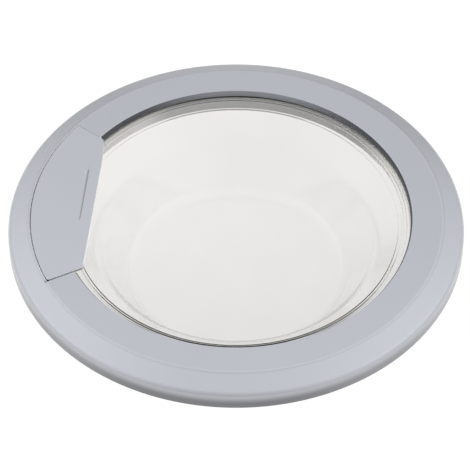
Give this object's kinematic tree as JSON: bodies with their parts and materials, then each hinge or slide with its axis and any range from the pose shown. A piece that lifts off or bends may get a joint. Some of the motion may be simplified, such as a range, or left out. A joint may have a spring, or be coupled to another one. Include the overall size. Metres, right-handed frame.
{
  "type": "washing machine door",
  "caption": "Round front-loader door: silver bevelled ring with a flush pull handle, clear glass bowl, spring latch hook and hinge leaf behind.",
  "frame": {"origin": "On the floor under the centre of the glass bowl, which rests on its flat bottom.", "axes": "+Z out of the front face, +X from the handle to the hinge, +Y completes the right-handed frame along the hinge axis."},
  "size_m": [0.45, 0.45, 0.083],
  "materials": {
    "silver_plastic": "satin silver paint on moulded plastic",
    "grey_plastic": "plain grey moulding, fine grain",
    "bowl_glass": "clear pressed glass, fire polished",
    "seal_rubber": "pale grey moulded rubber",
    "lever_plastic": "dark grey moulding",
    "screw_steel": "zinc plated",
    "pin_steel": "ground bright",
    "spring_steel": "drawn wire and strip, oiled",
    "plate_steel": "folded sheet, zinc plated",
    "cast_zinc": "die cast, tumbled",
    "bush_plastic": "natural white moulding"
  },
  "bodies": {
    "door": {"front_frame": "silver_plastic", "rear_frame": "grey_plastic", "glass_bowl": "bowl_glass", "glass_gasket": "seal_rubber", "rear_seal": "seal_rubber", "frame_screws": "screw_steel", "hinge_screws": "screw_steel", "latch_screws": "screw_steel", "handle_pin": "pin_steel", "handle_springs": "spring_steel", "hook_pin": "pin_steel", "hook_clips": "spring_steel", "hook_spring": "spring_steel", "latch_bracket": "plate_steel", "hinge_bracket": "cast_zinc", "hinge_bushes": "bush_plastic"},
    "handle": {"handle_cover": "silver_plastic", "handle_lever": "lever_plastic", "handle_screws": "screw_steel"},
    "hook": {"latch_hook": "cast_zinc"},
    "hinge_leaf": {"hinge_arm": "cast_zinc", "hinge_pin": "pin_steel", "hinge_clips": "spring_steel"}
  },
  "joints": [
    {"name": "handle_pull", "type": "hinge", "parent": "door", "child": "handle", "pos_m": [-0.193, 0, 0.0782], "axis": [0, -1, 0], "range_deg": [0, 12], "stiffness_Nm_per_rad": 0.25, "springref_deg": -17.19, "deforming": ["handle_springs"]},
    {"name": "hook_swing", "type": "hinge", "parent": "door", "child": "hook", "pos_m": [-0.193, 0, 0.062], "axis": [0, 1, 0], "range_deg": [0, 12], "stiffness_Nm_per_rad": 0.06, "springref_deg": -17.19, "deforming": ["hook_spring"]},
    {"name": "hinge_swing", "type": "hinge", "parent": "door", "child": "hinge_leaf", "pos_m": [0.207, 0, 0.051], "axis": [0, -1, 0], "range_deg": [-90, 70]}
  ],
  "couplings": [
    {"joint": "hook_swing", "follows": "handle_pull", "ratio": 1}
  ]
}
